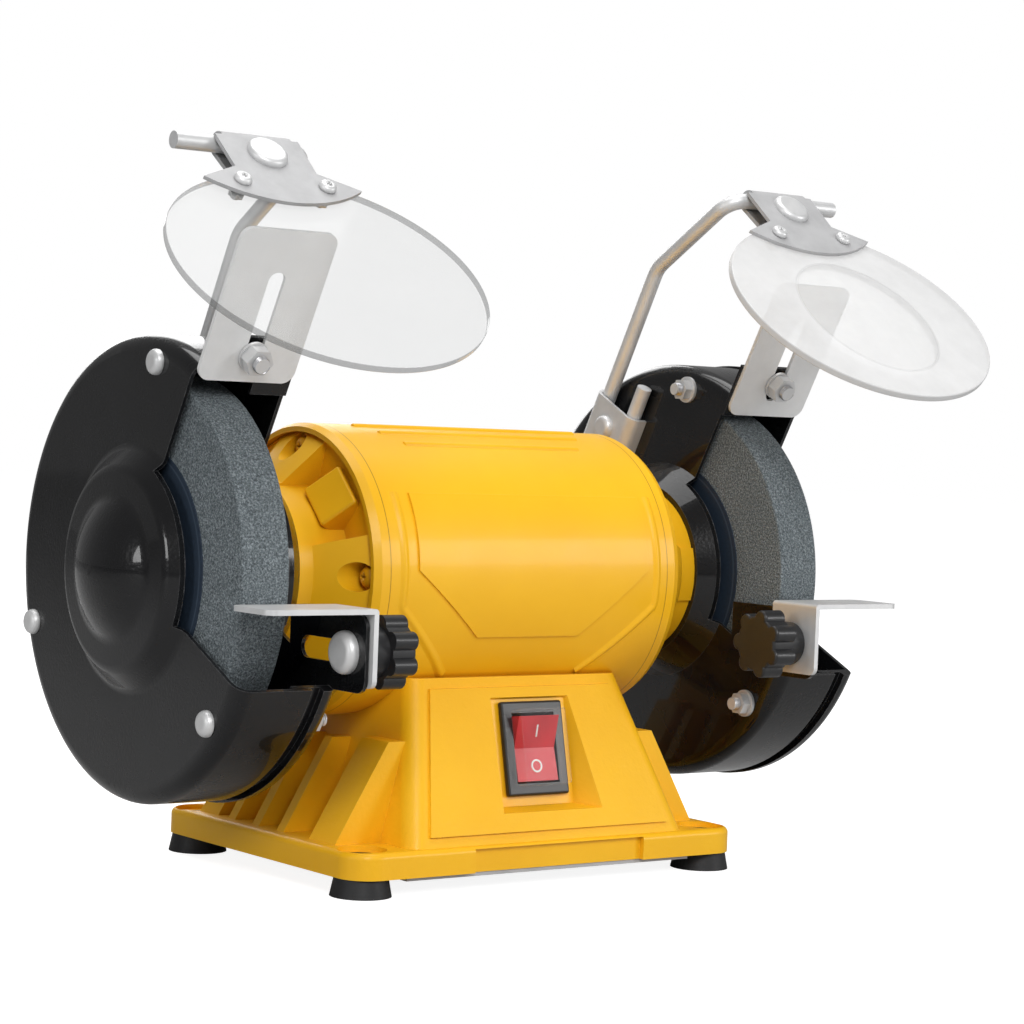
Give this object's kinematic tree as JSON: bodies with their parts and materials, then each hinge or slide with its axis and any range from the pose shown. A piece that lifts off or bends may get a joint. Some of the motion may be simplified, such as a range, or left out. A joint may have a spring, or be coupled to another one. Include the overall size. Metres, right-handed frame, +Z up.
{
  "type": "bench grinder",
  "caption": "Bench grinder on a tapered pedestal: guarded abrasive wheels at both ends of a motor spindle, with sliding tool rests, spark arrestors and tilting eye shields.",
  "frame": {"origin": "on the bench, in the middle of the four bench bolt holes through the feet", "axes": "+X along the spindle toward the wheel on the right of the switch side, -Y toward the switch side, +Z up"},
  "size_m": [0.3908, 0.2284, 0.2832],
  "materials": {
    "yellow_casting": "gloss enamel on an iron casting",
    "yellow_housing": "gloss enamel on die-cast aluminium",
    "yellow_screws": "screws painted over with the housing",
    "black_paint": "satin black stove enamel",
    "zinc": "bright zinc plate",
    "bright_steel": "turned steel",
    "core_steel": "stacked laminations",
    "copper": "varnished winding",
    "grey_can": "smooth can",
    "abrasive": "vitrified grit",
    "label": "dark card blotter",
    "rubber": "moulded",
    "black_plastic": "moulded",
    "knob_plastic": "moulded",
    "red_plastic": "moulded",
    "clear_boot": "clear flexible cover",
    "clear_lens": "clear sheet"
  },
  "bodies": {
    "frame": {"base_casting": "yellow_casting", "base_cover": "zinc", "rubber_feet": "rubber", "cord_inlet": "black_plastic", "capacitor": "grey_can", "switch_frame": "black_plastic", "switch_boot": "clear_boot", "motor_housing": "yellow_housing", "left_end_bell": "yellow_housing", "right_end_bell": "yellow_housing", "end_bell_screws": "yellow_screws", "stator_core": "core_steel", "stator_windings": "copper", "bearings": "bright_steel", "left_guard_cover": "black_paint", "left_guard_inner": "black_paint", "right_guard_inner": "black_paint", "right_guard_cover": "black_paint", "guard_bolts": "zinc", "guard_nuts": "zinc", "guard_mount_screws": "zinc", "spark_bolts": "zinc", "spark_nuts": "zinc", "left_rod_clamp": "zinc", "right_rod_clamp": "zinc", "rod_clamp_screws": "zinc"},
    "rotor": {"spindle": "bright_steel", "rotor_core": "core_steel", "left_wheel": "abrasive", "right_wheel": "abrasive", "wheel_labels": "label", "wheel_flanges": "bright_steel", "spindle_nuts": "bright_steel"},
    "rocker": {"switch_rocker": "red_plastic"},
    "left_rest": {"left_tool_rest": "zinc", "left_rest_bolt": "zinc"},
    "left_knob": {"left_rest_knob": "knob_plastic"},
    "left_spark": {"left_spark_plate": "zinc"},
    "left_arm": {"left_shield_rod": "zinc"},
    "left_shield": {"left_shield_bracket": "zinc", "left_bracket_bolt": "zinc", "left_lens_screws": "zinc", "left_lens": "clear_lens"},
    "right_rest": {"right_tool_rest": "zinc", "right_rest_bolt": "zinc"},
    "right_knob": {"right_rest_knob": "knob_plastic"},
    "right_spark": {"right_spark_plate": "zinc"},
    "right_arm": {"right_shield_rod": "zinc"},
    "right_shield": {"right_shield_bracket": "zinc", "right_bracket_bolt": "zinc", "right_lens_screws": "zinc", "right_lens": "clear_lens"}
  },
  "joints": [
    {"name": "spindle_spin", "type": "hinge", "parent": "frame", "child": "rotor", "pos_m": [0, 0.00415, 0.1194], "axis": [1, 0, 0], "continuous": true},
    {"name": "switch_rock", "type": "hinge", "parent": "frame", "child": "rocker", "pos_m": [0.0025, -0.0475, 0.05076], "axis": [-1, 0, 0], "range_deg": [0, 12]},
    {"name": "left_rest_slide", "type": "slide", "parent": "frame", "child": "left_rest", "axis": [0, 1, 0], "range_m": [-0.003, 0.0015]},
    {"name": "left_knob_turn", "type": "hinge", "parent": "left_rest", "child": "left_knob", "pos_m": [-0.1, -0.08435, 0.0947], "axis": [1, 0, 0], "continuous": true},
    {"name": "left_spark_slide", "type": "slide", "parent": "frame", "child": "left_spark", "axis": [0, -0.4772, 0.8788], "range_m": [-0.005, 0]},
    {"name": "left_arm_slide", "type": "slide", "parent": "frame", "child": "left_arm", "axis": [0, -0.4633, 0.8862], "range_m": [0, 0.008]},
    {"name": "left_shield_tilt", "type": "hinge", "parent": "left_arm", "child": "left_shield", "pos_m": [-0.131, -0.03785, 0.2784], "axis": [-1, 0, 0], "range_deg": [0, 75]},
    {"name": "right_rest_slide", "type": "slide", "parent": "frame", "child": "right_rest", "axis": [0, 1, 0], "range_m": [-0.003, 0.0015]},
    {"name": "right_knob_turn", "type": "hinge", "parent": "right_rest", "child": "right_knob", "pos_m": [0.1, -0.08435, 0.0947], "axis": [1, 0, 0], "continuous": true},
    {"name": "right_spark_slide", "type": "slide", "parent": "frame", "child": "right_spark", "axis": [0, -0.4772, 0.8788], "range_m": [-0.0015, 0.0045]},
    {"name": "right_arm_slide", "type": "slide", "parent": "frame", "child": "right_arm", "axis": [0, -0.4633, 0.8862], "range_m": [0, 0.008]},
    {"name": "right_shield_tilt", "type": "hinge", "parent": "right_arm", "child": "right_shield", "pos_m": [0.131, -0.03785, 0.2784], "axis": [-1, 0, 0], "range_deg": [0, 75]}
  ]
}
